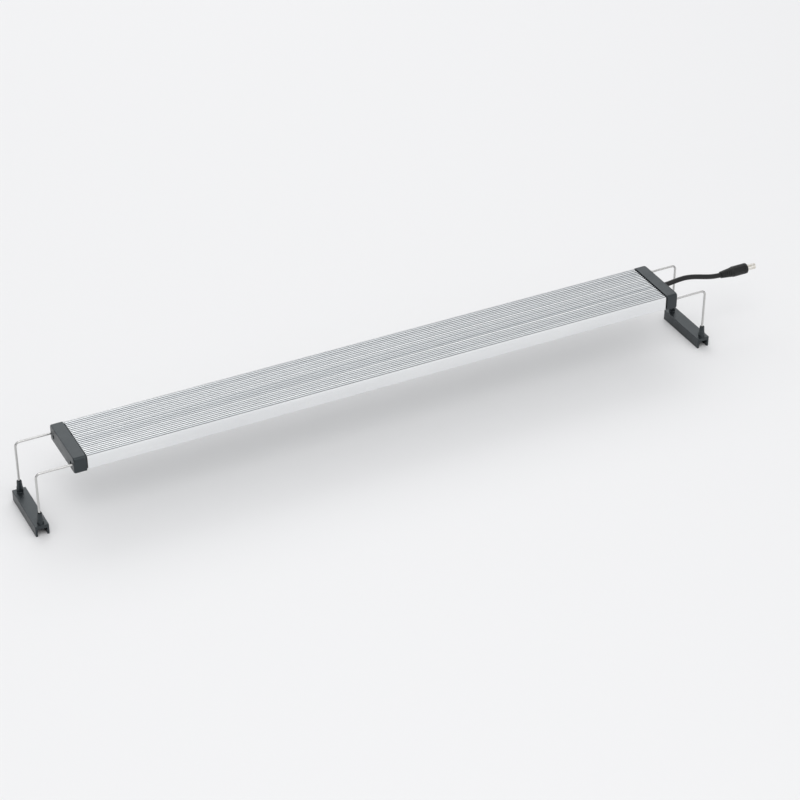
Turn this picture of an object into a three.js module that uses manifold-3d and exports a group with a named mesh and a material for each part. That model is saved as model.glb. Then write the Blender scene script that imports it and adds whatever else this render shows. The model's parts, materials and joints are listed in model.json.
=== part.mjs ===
// LED aquarium light bar that stands on the rim of a tank: a ribbed aluminium housing between two
// plastic end caps, four L-shaped wire rods that slide in and out of its ends, and two clips that
// straddle the tank's side panes and take the rods' short legs.
//
// Millimetres. X runs along the bar, Y from its front to its rear, Z up. The origin is on the light
// cover's outer face, halfway along the bar and halfway across it, and that face is the plane z = 0.

import * as THREE from "three";
import { mergeVertices } from "three/addons/utils/BufferGeometryUtils.js";
import Module from "manifold-3d";

const wasm = await Module();
wasm.setup();

// ---------------------------------------------------------------- driving dimensions

const BAR_LENGTH = 580; // over both end caps
const BAR_WIDTH = 58.6; // over an end cap
const BAR_HEIGHT = 14.5; // from the resting plane to the top of an end cap
const CAP_DEPTH = 11; // along the bar
const CAP_PROUD = 0.8; // an end cap stands this far past the housing's sides and top
const GASKET_THICKNESS = 1;

const RIB_COUNT = 21;
const RIB_PITCH = 2.58;
const GROOVE_DEPTH = 1.6;
const GROOVE_WIDTH = 1.2; // between two rib tops
const GROOVE_FLOOR = 0.7;

const ROD_RADIUS = 1.0;
const ROD_SPACING = 50.8; // between the two rods of one end, and between the two pins of a clip
const LONG_LEG = 128.5; // slides in the bar, measured from the corner
const SHORT_LEG = 50.7; // drops into a clip, measured from the corner
const BEND_RADIUS = 4;
const REACH = 32; // from an end cap's outer face to the short legs, as modelled

const CLIP_LENGTH = 58.5;
const CLIP_WIDTH = 12;
const CLIP_HEIGHT = 10;
const SLOT_WIDTH = 8.2; // takes a pane of up to 8 mm
const CLIP_CEILING = 3.4; // over the slot
const PIN_HEIGHT = 10.6; // above the clip's top
const PIN_BORE_DEPTH = 12.6;

const LED_COUNT = 20;
const CABLE_RADIUS = 2.3;
const CABLE_REACH = 72; // from an end cap's outer face to the end of the cable

// ---------------------------------------------------------------- dimensions that follow

const RUNNING_GAP = 0.3; // round a rod, where it slides
const RESTING_GAP = 0.05; // between two fixed pieces that lie on each other
const BORE_RADIUS = ROD_RADIUS + RUNNING_GAP;
const ROD_Y = ROD_SPACING / 2;
const ROD_Z = BAR_HEIGHT / 2;

const BAR_HALF = BAR_LENGTH / 2;
const CAP_INNER_X = BAR_HALF - CAP_DEPTH;
const HOUSING_END_X = CAP_INNER_X - GASKET_THICKNESS - 2 * RESTING_GAP;
const HOUSING_HALF = BAR_WIDTH / 2 - CAP_PROUD;
const HOUSING_BOTTOM = CAP_PROUD;
const HOUSING_TOP = BAR_HEIGHT - CAP_PROUD;
const GROOVE_Z = HOUSING_TOP - GROOVE_DEPTH;
const OUTER_GROOVE_Y = (RIB_COUNT / 2) * RIB_PITCH;

const SHOULDER_START = OUTER_GROOVE_Y + GROOVE_WIDTH / 2; // where the rounded shoulder leaves the top
const SHOULDER_DROP = 4;
const FOOT_RADIUS = 0.7; // along the housing's two bottom edges

const LIP_HALF = 17; // half the opening that the light cover stands in
const LIP_TOP = 2;
const CHANNEL_HALF = 18.9; // half the width of the groove over the lips, which holds the cover's flange
const CHANNEL_TOP = 4;
const CAVITY_HALF = 17.4;
const CAVITY_TOP = 9.3;

const SCREW_Y = 21;
const SCREW_Z = 6;
const SCREW_RADIUS = 1.2;
const SCREW_GAP = 0.12; // round a screw's shank
const SCREW_PORT_RADIUS = SCREW_RADIUS + SCREW_GAP;
const SCREW_HEAD_RADIUS = 1.9;
const COUNTERBORE_RADIUS = 2.1;
const COUNTERBORE_DEPTH = 4;

const COVER_HALF = LIP_HALF - RUNNING_GAP;
const COVER_FLANGE_HALF = CHANNEL_HALF - RUNNING_GAP;
const COVER_FLANGE_BOTTOM = LIP_TOP + 2 * RESTING_GAP;
const COVER_TOP = 3.5;
const SEAL_WIDTH = 1.1;

const PAD_THICKNESS = 0.5;
const PAD_TOP = CAVITY_TOP - RESTING_GAP;
const PAD_BOTTOM = PAD_TOP - PAD_THICKNESS;
const BOARD_THICKNESS = 1.6;
const BOARD_TOP = PAD_BOTTOM - RESTING_GAP;
const BOARD_BOTTOM = BOARD_TOP - BOARD_THICKNESS;
const BOARD_HALF_LENGTH = 270;
const BOARD_HALF_WIDTH = 14;
const LED_SIDE = 5;
const LED_HEIGHT = 1.5;
const LED_PITCH = 26.5;

const WINDOW_HALF = 15; // half the width of the wiring pocket in a cap and of the gasket's window
const WINDOW_BOTTOM = ROD_Z - 3.65;
const WINDOW_TOP = ROD_Z + 3.65;
const POCKET_DEPTH = 6;
const CABLE_HOLE_RADIUS = 3.2;

const ROD_END_Z = ROD_Z - SHORT_LEG;
const CLIP_TOP = ROD_END_Z - RUNNING_GAP + PIN_BORE_DEPTH - PIN_HEIGHT;
const CLIP_BOTTOM = CLIP_TOP - CLIP_HEIGHT;
const PIN_TOP = CLIP_TOP + PIN_HEIGHT;

const OVERSHOOT = 1; // a cutting shape reaches this far past the faces it cuts through
const ROUND_SIDES = 20;
const ROD_SIDES = 12;

// ---------------------------------------------------------------- finishes

const FINISHES = {
  anodised: { color: 0xc4c8cb, roughness: 0.38, metalness: 0.9 },
  anthracite: { color: 0x2b3034, roughness: 0.45, metalness: 0.0 },
  stainless: { color: 0xb9bab8, roughness: 0.22, metalness: 1.0 },
  clear: { color: 0xe9f1f4, roughness: 0.1, metalness: 0.0 },
  silicone: { color: 0x1a1b1c, roughness: 0.7, metalness: 0.0 },
  jacket: { color: 0x101112, roughness: 0.5, metalness: 0.0 },
  white_laminate: { color: 0xf0f0ea, roughness: 0.5, metalness: 0.0 },
  thermal: { color: 0x9aa3ad, roughness: 0.9, metalness: 0.0 },
  led: { color: 0xf2df8a, roughness: 0.4, metalness: 0.0 },
  steel: { color: 0x8d9094, roughness: 0.35, metalness: 1.0 },
  nickel: { color: 0xc9c6bf, roughness: 0.2, metalness: 1.0 },
  red_insulation: { color: 0xa82020, roughness: 0.5, metalness: 0.0 },
  black_insulation: { color: 0x15161a, roughness: 0.5, metalness: 0.0 },
};

// ---------------------------------------------------------------- helpers

const X = new THREE.Vector3(1, 0, 0);
const Y = new THREE.Vector3(0, 1, 0);
const Z = new THREE.Vector3(0, 0, 1);
const SECTION_ACROSS_X = new THREE.Matrix4().makeBasis(Y, Z, X); // a shape's x and y become Y and Z
const SECTION_ACROSS_Y = new THREE.Matrix4().makeBasis(X, Z, Y.clone().negate()); // X and Z

function extrudeAlongX(shape, from, to, curveSegments = 4) {
  return new THREE.ExtrudeGeometry(shape, { depth: to - from, bevelEnabled: false, curveSegments })
    .applyMatrix4(SECTION_ACROSS_X)
    .translate(from, 0, 0);
}

function extrudeAlongZ(shape, from, to) {
  const settings = { depth: to - from, bevelEnabled: false, curveSegments: 4 };
  return new THREE.ExtrudeGeometry(shape, settings).translate(0, 0, from);
}

function box(low, high) {
  const size = high.map((value, axis) => value - low[axis]);
  const middle = high.map((value, axis) => (value + low[axis]) / 2);
  return new THREE.BoxGeometry(...size).translate(...middle);
}

function cylinderAlongX(radius, from, to, y, z) {
  return new THREE.CylinderGeometry(radius, radius, to - from, ROUND_SIDES)
    .rotateZ(Math.PI / 2)
    .translate((from + to) / 2, y, z);
}

// A solid of revolution about a line parallel to X: profile points are [x, radius].
function turnedAlongX(profile, y, z) {
  const points = profile.map(([x, radius]) => new THREE.Vector2(radius, x));
  return new THREE.LatheGeometry(points, ROUND_SIDES).rotateZ(-Math.PI / 2).translate(0, y, z);
}

// A solid of revolution about a line parallel to Z: profile points are [radius, z].
function turnedAlongZ(profile, x, y) {
  const points = profile.map(([radius, z]) => new THREE.Vector2(radius, z));
  return new THREE.LatheGeometry(points, ROUND_SIDES).rotateX(Math.PI / 2).translate(x, y, 0);
}

function sweep(radius, path, steps, sides) {
  const outline = new THREE.Shape().absarc(0, 0, radius, 0, 2 * Math.PI);
  const settings = { steps, curveSegments: sides / 2, extrudePath: path };
  return new THREE.ExtrudeGeometry(outline, settings);
}

function toSolid(geometry) {
  const bare = geometry.clone();
  bare.deleteAttribute("normal");
  bare.deleteAttribute("uv");
  const merged = mergeVertices(bare, 1e-4);
  const vertProperties = merged.attributes.position.array;
  const triVerts = new Uint32Array(merged.index.array);
  return new wasm.Manifold(new wasm.Mesh({ numProp: 3, vertProperties, triVerts }));
}

function toGeometry(solid) {
  const mesh = solid.getMesh();
  const geometry = new THREE.BufferGeometry();
  geometry.setAttribute("position", new THREE.BufferAttribute(mesh.vertProperties, 3));
  geometry.setIndex(new THREE.BufferAttribute(mesh.triVerts, 1));
  const faceted = geometry.toNonIndexed();
  faceted.computeVertexNormals();
  return faceted;
}

function cut(geometry, tools) {
  return toGeometry(tools.reduce((left, tool) => left.subtract(toSolid(tool)), toSolid(geometry)));
}

function join(geometries) {
  const [first, ...others] = geometries.map(toSolid);
  return toGeometry(others.reduce((whole, piece) => whole.add(piece), first));
}

function common(a, b) {
  return toGeometry(toSolid(a).intersect(toSolid(b)));
}

function piece(name, geometry, finish) {
  const mesh = new THREE.Mesh(geometry, new THREE.MeshStandardMaterial(FINISHES[finish]));
  mesh.name = name;
  return mesh;
}

// The same geometry turned half a turn about Z, for the bar's other end.
function atOtherEnd(geometry) {
  return geometry.clone().rotateZ(Math.PI);
}

function circle(y, z, radius) {
  return new THREE.Path().absarc(y, z, radius, 0, 2 * Math.PI);
}

// A rectangle whose two upper and two lower corners have their own radii, drawn anticlockwise.
function roundedRectangle(left, bottom, right, top, upperRadius, lowerRadius) {
  const quarter = Math.PI / 2;
  return new THREE.Shape()
    .moveTo(left + lowerRadius, bottom)
    .lineTo(right - lowerRadius, bottom)
    .absarc(right - lowerRadius, bottom + lowerRadius, lowerRadius, -quarter, 0)
    .lineTo(right, top - upperRadius)
    .absarc(right - upperRadius, top - upperRadius, upperRadius, 0, quarter)
    .lineTo(left + upperRadius, top)
    .absarc(left + upperRadius, top - upperRadius, upperRadius, quarter, 2 * quarter)
    .lineTo(left, bottom + lowerRadius)
    .absarc(left + lowerRadius, bottom + lowerRadius, lowerRadius, 2 * quarter, 3 * quarter);
}

// A wire bent once to a right angle. It is sampled at its two ends and at even steps round the bend,
// so that the straight legs cost nothing.
class BentWire extends THREE.Curve {
  constructor(start, corner, end, bendRadius, bendSteps) {
    super();
    this.first = corner.clone().sub(start).normalize();
    this.second = end.clone().sub(corner).normalize();
    this.start = start;
    this.end = end;
    this.bendStart = corner.clone().addScaledVector(this.first, -bendRadius);
    this.centre = this.bendStart.clone().addScaledVector(this.second, bendRadius);
    this.bendRadius = bendRadius;
    this.steps = bendSteps + 2;
  }

  // 0 at the bend's start and 1 at its end; outside that range the point lies on a leg
  bendShare(t) {
    return (t * this.steps - 1) / (this.steps - 2);
  }

  getPoint(t, target = new THREE.Vector3()) {
    const share = this.bendShare(t);
    if (share < 0) return target.lerpVectors(this.start, this.bendStart, t * this.steps);
    const angle = (Math.min(share, 1) * Math.PI) / 2;
    target.copy(this.centre);
    target.addScaledVector(this.second, -this.bendRadius * Math.cos(angle));
    target.addScaledVector(this.first, this.bendRadius * Math.sin(angle));
    return share > 1 ? target.lerp(this.end, (share - 1) * (this.steps - 2)) : target;
  }

  getTangent(t, target = new THREE.Vector3()) {
    const angle = (THREE.MathUtils.clamp(this.bendShare(t), 0, 1) * Math.PI) / 2;
    target.copy(this.first).multiplyScalar(Math.cos(angle));
    return target.addScaledVector(this.second, Math.sin(angle));
  }

  getPointAt(t, target) {
    return this.getPoint(t, target);
  }

  getTangentAt(t, target) {
    return this.getTangent(t, target);
  }
}

// ---------------------------------------------------------------- housing, cover and light source

// The extrusion's section, drawn anticlockwise from the front lip: under the front rail, up the front
// side, over the ribs, down the rear side, and back through the cavity.
function housingSection() {
  const quarter = Math.PI / 2;
  const footCentre = HOUSING_HALF - FOOT_RADIUS;
  const shoulderWidth = HOUSING_HALF - SHOULDER_START;
  const shoulderZ = HOUSING_TOP - SHOULDER_DROP;
  const section = new THREE.Shape()
    .moveTo(LIP_HALF, HOUSING_BOTTOM)
    .lineTo(footCentre, HOUSING_BOTTOM)
    .absarc(footCentre, HOUSING_BOTTOM + FOOT_RADIUS, FOOT_RADIUS, -quarter, 0)
    .lineTo(HOUSING_HALF, shoulderZ)
    .absellipse(SHOULDER_START, shoulderZ, shoulderWidth, SHOULDER_DROP, 0, quarter);
  for (let groove = 0; groove <= RIB_COUNT; groove++) {
    const y = OUTER_GROOVE_Y - groove * RIB_PITCH;
    section.lineTo(y + GROOVE_WIDTH / 2, HOUSING_TOP);
    section.lineTo(y + GROOVE_FLOOR / 2, GROOVE_Z);
    section.lineTo(y - GROOVE_FLOOR / 2, GROOVE_Z);
    section.lineTo(y - GROOVE_WIDTH / 2, HOUSING_TOP);
  }
  return section
    .absellipse(-SHOULDER_START, shoulderZ, shoulderWidth, SHOULDER_DROP, quarter, 2 * quarter)
    .lineTo(-HOUSING_HALF, HOUSING_BOTTOM + FOOT_RADIUS)
    .absarc(-footCentre, HOUSING_BOTTOM + FOOT_RADIUS, FOOT_RADIUS, 2 * quarter, 3 * quarter)
    .lineTo(-LIP_HALF, HOUSING_BOTTOM)
    .lineTo(-LIP_HALF, LIP_TOP)
    .lineTo(-CHANNEL_HALF, LIP_TOP)
    .lineTo(-CHANNEL_HALF, CHANNEL_TOP)
    .lineTo(-CAVITY_HALF, CHANNEL_TOP)
    .lineTo(-CAVITY_HALF, CAVITY_TOP)
    .lineTo(CAVITY_HALF, CAVITY_TOP)
    .lineTo(CAVITY_HALF, CHANNEL_TOP)
    .lineTo(CHANNEL_HALF, CHANNEL_TOP)
    .lineTo(CHANNEL_HALF, LIP_TOP)
    .lineTo(LIP_HALF, LIP_TOP)
    .lineTo(LIP_HALF, HOUSING_BOTTOM);
}

function housing() {
  const section = housingSection();
  for (const side of [-1, 1]) {
    section.holes.push(circle(side * ROD_Y, ROD_Z, BORE_RADIUS));
    section.holes.push(circle(side * SCREW_Y, SCREW_Z, SCREW_PORT_RADIUS));
  }
  return extrudeAlongX(section, -HOUSING_END_X, HOUSING_END_X, ROUND_SIDES / 4);
}

// A flat strip that stands in the opening, with a wider flange above it that rests on the two lips.
function lightCover() {
  const section = new THREE.Shape()
    .moveTo(-COVER_HALF, 0)
    .lineTo(COVER_HALF, 0)
    .lineTo(COVER_HALF, COVER_FLANGE_BOTTOM)
    .lineTo(COVER_FLANGE_HALF, COVER_FLANGE_BOTTOM)
    .lineTo(COVER_FLANGE_HALF, COVER_TOP)
    .lineTo(-COVER_FLANGE_HALF, COVER_TOP)
    .lineTo(-COVER_FLANGE_HALF, COVER_FLANGE_BOTTOM)
    .lineTo(-COVER_HALF, COVER_FLANGE_BOTTOM);
  return extrudeAlongX(section, -HOUSING_END_X, HOUSING_END_X);
}

function coverSeal(side) {
  const inner = side * (COVER_FLANGE_HALF - SEAL_WIDTH);
  const outer = side * COVER_FLANGE_HALF;
  return box(
    [-HOUSING_END_X, Math.min(inner, outer), COVER_TOP + RESTING_GAP],
    [HOUSING_END_X, Math.max(inner, outer), CHANNEL_TOP - RESTING_GAP],
  );
}

function boardLayer(bottom, top) {
  return box(
    [-BOARD_HALF_LENGTH, -BOARD_HALF_WIDTH, bottom],
    [BOARD_HALF_LENGTH, BOARD_HALF_WIDTH, top],
  );
}

// A square package, facing down, with a shallow round well for its phosphor.
function led(x) {
  const top = BOARD_BOTTOM - RESTING_GAP;
  const bottom = top - LED_HEIGHT;
  const half = LED_SIDE / 2;
  const mouthRadius = 1.9;
  const floorRadius = 1.6;
  const wellDepth = 0.4;
  const below = bottom - OVERSHOOT;
  const floor = bottom + wellDepth;
  const well = turnedAlongZ([[0, below], [mouthRadius, below], [mouthRadius, bottom],
    [floorRadius, floor], [0, floor]], x, 0);
  return cut(box([x - half, -half, bottom], [x + half, half, top]), [well]);
}

// ---------------------------------------------------------------- ends

// The moulded cap at the +X end: a rounded block with a wiring pocket in its inner face.
function endCap(extraHoles) {
  const half = BAR_WIDTH / 2;
  const upperRadius = 2.8;
  const lowerRadius = 1.2;
  const planRadius = 1.6;
  const section = roundedRectangle(-half, 0, half, BAR_HEIGHT, upperRadius, lowerRadius);
  const plan = new THREE.Shape()
    .moveTo(CAP_INNER_X, -half)
    .lineTo(BAR_HALF - planRadius, -half)
    .absarc(BAR_HALF - planRadius, planRadius - half, planRadius, -Math.PI / 2, 0)
    .lineTo(BAR_HALF, half - planRadius)
    .absarc(BAR_HALF - planRadius, half - planRadius, planRadius, 0, Math.PI / 2)
    .lineTo(CAP_INNER_X, half);
  const block = common(
    extrudeAlongX(section, CAP_INNER_X, BAR_HALF),
    extrudeAlongZ(plan, -OVERSHOOT, BAR_HEIGHT + OVERSHOOT),
  );
  const inside = CAP_INNER_X - OVERSHOOT;
  const outside = BAR_HALF + OVERSHOOT;
  const pocket = box(
    [inside, -WINDOW_HALF, WINDOW_BOTTOM],
    [CAP_INNER_X + POCKET_DEPTH, WINDOW_HALF, WINDOW_TOP],
  );
  const holes = [-1, 1].flatMap((side) => [
    cylinderAlongX(BORE_RADIUS, inside, outside, side * ROD_Y, ROD_Z),
    cylinderAlongX(SCREW_PORT_RADIUS, inside, BAR_HALF, side * SCREW_Y, SCREW_Z),
    cylinderAlongX(COUNTERBORE_RADIUS, BAR_HALF - COUNTERBORE_DEPTH, outside, side * SCREW_Y, SCREW_Z),
  ]);
  return cut(block, [pocket, ...holes, ...extraHoles]);
}

// A flat seal between the housing's end and a cap, below the floor of the grooves.
function gasket() {
  const margin = 0.4; // to the housing's outline
  const half = HOUSING_HALF - margin;
  const bottom = HOUSING_BOTTOM + margin;
  const top = GROOVE_Z - margin / 2;
  const cornerRadius = 1;
  const windowRadius = 0.5;
  const outline = roundedRectangle(-half, bottom, half, top, cornerRadius, cornerRadius);
  for (const side of [-1, 1]) {
    outline.holes.push(circle(side * ROD_Y, ROD_Z, BORE_RADIUS));
    outline.holes.push(circle(side * SCREW_Y, SCREW_Z, SCREW_PORT_RADIUS));
  }
  outline.holes.push(
    roundedRectangle(-WINDOW_HALF, WINDOW_BOTTOM, WINDOW_HALF, WINDOW_TOP, windowRadius, windowRadius),
  );
  const from = HOUSING_END_X + RESTING_GAP;
  return extrudeAlongX(outline, from, from + GASKET_THICKNESS);
}

// A pan-head screw, driven in from the cap's outer face, with a hexagon socket.
function capScrew(side) {
  const headHeight = 1.8;
  const headRound = 0.5;
  const shankLength = 18;
  const pointLength = 1;
  const socketRadius = 0.9;
  const socketDepth = 1;
  const seat = BAR_HALF - COUNTERBORE_DEPTH + RESTING_GAP;
  const top = seat + headHeight;
  const point = seat - shankLength;
  const body = turnedAlongX([[point, 0], [point + pointLength, SCREW_RADIUS], [seat, SCREW_RADIUS],
    [seat, SCREW_HEAD_RADIUS], [top - headRound, SCREW_HEAD_RADIUS],
    [top, SCREW_HEAD_RADIUS - headRound], [top, 0]], side * SCREW_Y, SCREW_Z);
  const socket = new THREE.CylinderGeometry(socketRadius, socketRadius, 2 * socketDepth, 6)
    .rotateZ(Math.PI / 2)
    .translate(top, side * SCREW_Y, SCREW_Z);
  return cut(body, [socket]);
}

// ---------------------------------------------------------------- cable, plug and wiring

const CABLE_START_X = CAP_INNER_X + 3; // inside the cap's pocket
const CABLE_OUTSIDE = new THREE.Vector3(BAR_HALF + 3, 0, ROD_Z); // straight up to here
const CABLE_CREST = new THREE.Vector3(BAR_HALF + 24, -0.5, ROD_Z + 1.9);
const CABLE_END = new THREE.Vector3(BAR_HALF + CABLE_REACH, -4, ROD_Z - 3);
const PLUG_SLEEVE = 9; // the length of cable that the plug's tapered sleeve covers
const PLUG_GRIP = 19; // from the end of the cable to the grip's mouth
const PLUG_SOCKET_DEPTH = 5;
const PLUG_SOCKET_RADIUS = 2.9;

// Straight through the cap, a slight rise, then a droop that levels out into the plug.
function cablePath() {
  const start = new THREE.Vector3(CABLE_START_X, 0, ROD_Z);
  const level = CABLE_END.clone().addScaledVector(X, -PLUG_SLEEVE - 1);
  const riseHandle = X.clone().multiplyScalar(8);
  const droopHandle = X.clone().multiplyScalar(14);
  const path = new THREE.CurvePath();
  path.add(new THREE.LineCurve3(start, CABLE_OUTSIDE));
  path.add(new THREE.CubicBezierCurve3(CABLE_OUTSIDE, CABLE_OUTSIDE.clone().add(riseHandle),
    CABLE_CREST.clone().sub(riseHandle), CABLE_CREST));
  path.add(new THREE.CubicBezierCurve3(CABLE_CREST, CABLE_CREST.clone().add(droopHandle),
    level.clone().sub(droopHandle), level));
  path.add(new THREE.LineCurve3(level, CABLE_END));
  return path;
}

// A flanged sleeve: the flange lies against the pocket's outer wall, the neck lines the cable hole.
function cableGrommet() {
  const clearance = 0.15;
  const inner = CABLE_RADIUS + clearance;
  const neck = CABLE_HOLE_RADIUS - clearance;
  const flange = CABLE_HOLE_RADIUS + 0.3;
  const flangeThickness = 1.2;
  const recess = 0.3; // of the neck's end in the cap's outer face
  const wall = CAP_INNER_X + POCKET_DEPTH - RESTING_GAP;
  const back = wall - flangeThickness;
  const front = BAR_HALF - recess;
  return turnedAlongX([[back, inner], [back, flange], [wall, flange], [wall, neck], [front, neck],
    [front, inner], [back, inner]], 0, ROD_Z);
}

// From the end of the cable's jacket to a solder pad on the board.
function wire(side) {
  const radius = 0.6;
  const padInset = 7; // from the board's end
  const padY = side * 4;
  const jacketHandle = X.clone().multiplyScalar(-5);
  const padHandle = X.clone().multiplyScalar(7);
  const atJacket = new THREE.Vector3(CABLE_START_X - 4 * RESTING_GAP, side, ROD_Z - 2 * radius);
  const atPad = new THREE.Vector3(BOARD_HALF_LENGTH - padInset, padY, BOARD_BOTTOM - radius - RESTING_GAP);
  const path = new THREE.CubicBezierCurve3(atJacket, atJacket.clone().add(jacketHandle),
    atPad.clone().add(padHandle), atPad);
  return sweep(radius, path, 8, 8);
}

// The moulded grip of a barrel plug, with a tapered sleeve where the cable enters. Its bore steps down
// behind the cable's end, and its mouth holds the barrel.
function plugBody() {
  const tipRadius = CABLE_RADIUS + 0.9;
  const flareRadius = 4.3; // where the sleeve runs into the grip's shoulder
  const gripRadius = 5;
  const mouthRound = 0.7;
  const bore = CABLE_RADIUS + 0.2;
  const wireBore = 0.6;
  const tip = CABLE_END.x - PLUG_SLEEVE;
  const flare = CABLE_END.x + 2;
  const grip = CABLE_END.x + 4;
  const mouth = CABLE_END.x + PLUG_GRIP;
  const socket = mouth - PLUG_SOCKET_DEPTH;
  const step = CABLE_END.x + RUNNING_GAP;
  return turnedAlongX([[tip, bore], [tip, tipRadius], [flare, flareRadius], [grip, gripRadius],
    [mouth - mouthRound, gripRadius], [mouth, gripRadius - mouthRound], [mouth, PLUG_SOCKET_RADIUS],
    [socket, PLUG_SOCKET_RADIUS], [socket, wireBore], [step, wireBore], [step, bore], [tip, bore]],
    CABLE_END.y, CABLE_END.z);
}

// A sleeve of the plug's tip. It starts at the bottom of the grip's socket.
function plugSleeve(length, inner, outer) {
  const from = CABLE_END.x + PLUG_GRIP - PLUG_SOCKET_DEPTH + 2 * RESTING_GAP;
  const to = from + length;
  return turnedAlongX([[from, inner], [from, outer], [to, outer], [to, inner], [from, inner]],
    CABLE_END.y, CABLE_END.z);
}

// ---------------------------------------------------------------- rods and clips

// end is -1 for the left end and 1 for the right; side is -1 for the front and 1 for the rear.
function rod(end, side) {
  const corner = new THREE.Vector3(end * (BAR_HALF + REACH), side * ROD_Y, ROD_Z);
  const inside = corner.clone().addScaledVector(X, -end * LONG_LEG);
  const foot = corner.clone().addScaledVector(Z, -SHORT_LEG);
  const bendSteps = 6;
  const path = new BentWire(inside, corner, foot, BEND_RADIUS, bendSteps);
  return sweep(ROD_RADIUS, path, path.steps, ROD_SIDES);
}

// An upside-down channel that straddles a pane, with a bored pin near each end.
function clip(end) {
  const x = end * (BAR_HALF + REACH);
  const half = CLIP_WIDTH / 2;
  const slotHalf = SLOT_WIDTH / 2;
  const slotTop = CLIP_TOP - CLIP_CEILING;
  const edgeRadius = 0.5;
  const section = roundedRectangle(-half, CLIP_BOTTOM, half, CLIP_TOP, edgeRadius, edgeRadius);
  const channel = new THREE.ExtrudeGeometry(section,
    { depth: CLIP_LENGTH, bevelEnabled: false, curveSegments: 2 })
    .applyMatrix4(SECTION_ACROSS_Y)
    .translate(x, CLIP_LENGTH / 2, 0);
  const slot = box(
    [x - slotHalf, -CLIP_LENGTH, CLIP_BOTTOM - OVERSHOOT],
    [x + slotHalf, CLIP_LENGTH, slotTop],
  );
  const pins = [-1, 1].map((side) => clipPin(x, side * ROD_Y));
  const bores = [-1, 1].map((side) => clipBore(x, side * ROD_Y));
  return cut(join([cut(channel, [slot]), ...pins]), bores);
}

// Straight at its foot, then tapered, with a rounded rim.
function clipPin(x, y) {
  const footRadius = 2.85;
  const tipRadius = 2.15;
  const rim = 0.35;
  const root = CLIP_TOP - 1; // sunk into the channel, to join with it
  const taperStart = CLIP_TOP + 4.6;
  const taperEnd = PIN_TOP - 1.2;
  return turnedAlongZ([[0, root], [footRadius, root], [footRadius, taperStart], [tipRadius + rim, taperEnd],
    [tipRadius, PIN_TOP - rim], [tipRadius - rim, PIN_TOP], [0, PIN_TOP]], x, y);
}

function clipBore(x, y) {
  const bottom = PIN_TOP - PIN_BORE_DEPTH;
  const mouth = BORE_RADIUS + 0.3;
  const mouthDepth = 0.5;
  return turnedAlongZ([[0, bottom], [BORE_RADIUS, bottom], [BORE_RADIUS, PIN_TOP - mouthDepth],
    [mouth, PIN_TOP], [mouth, PIN_TOP + OVERSHOOT], [0, PIN_TOP + OVERSHOOT]], x, y);
}

// ---------------------------------------------------------------- the light

const light = new THREE.Group();
light.name = "led_aquarium_light";

light.add(
  piece("housing", housing(), "anodised"),
  piece("light_cover", lightCover(), "clear"),
  piece("cover_seal_front", coverSeal(-1), "silicone"),
  piece("cover_seal_rear", coverSeal(1), "silicone"),
  piece("thermal_pad", boardLayer(PAD_BOTTOM, PAD_TOP), "thermal"),
  piece("led_board", boardLayer(BOARD_BOTTOM, BOARD_TOP), "white_laminate"),
);

for (let n = 1; n <= LED_COUNT; n++) {
  const x = (n - (LED_COUNT + 1) / 2) * LED_PITCH;
  light.add(piece(`led_${String(n).padStart(2, "0")}`, led(x), "led"));
}

const cableHole = cylinderAlongX(CABLE_HOLE_RADIUS, CAP_INNER_X, BAR_HALF + OVERSHOOT, 0, ROD_Z);
light.add(
  piece("left_end_cap", atOtherEnd(endCap([])), "anthracite"),
  piece("right_end_cap", endCap([cableHole]), "anthracite"),
  piece("left_gasket", atOtherEnd(gasket()), "silicone"),
  piece("right_gasket", gasket(), "silicone"),
  piece("left_rear_screw", atOtherEnd(capScrew(-1)), "steel"),
  piece("left_front_screw", atOtherEnd(capScrew(1)), "steel"),
  piece("right_rear_screw", capScrew(1), "steel"),
  piece("right_front_screw", capScrew(-1), "steel"),
);

const barrel = { length: 14.4, inner: 2.35, outer: 2.75 };
const insulator = { length: 13.9, inner: 1.15, outer: 2.25 };
light.add(
  piece("cable", sweep(CABLE_RADIUS, cablePath(), 18, 12), "jacket"),
  piece("cable_grommet", cableGrommet(), "silicone"),
  piece("positive_wire", wire(1), "red_insulation"),
  piece("negative_wire", wire(-1), "black_insulation"),
  piece("plug_body", plugBody(), "jacket"),
  piece("plug_barrel", plugSleeve(barrel.length, barrel.inner, barrel.outer), "nickel"),
  piece("plug_insulator", plugSleeve(insulator.length, insulator.inner, insulator.outer),
    "black_insulation"),
);

for (const [end, endName] of [[-1, "left"], [1, "right"]]) {
  light.add(
    piece(`${endName}_rear_rod`, rod(end, 1), "stainless"),
    piece(`${endName}_front_rod`, rod(end, -1), "stainless"),
    piece(`${endName}_clip`, clip(end), "anthracite"),
  );
}

export default light;
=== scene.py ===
"""The finished look of an LED aquarium light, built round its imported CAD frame.

Fine pieces stand for the CAD nodes whose surfaces show; the rest of the nodes stay and get materials.
Lengths are in metres, in the CAD's frame: X along the bar, Y to the rear, Z up.
"""

import json
import math

import bmesh
import bpy
from mathutils import Matrix, Vector


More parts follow.
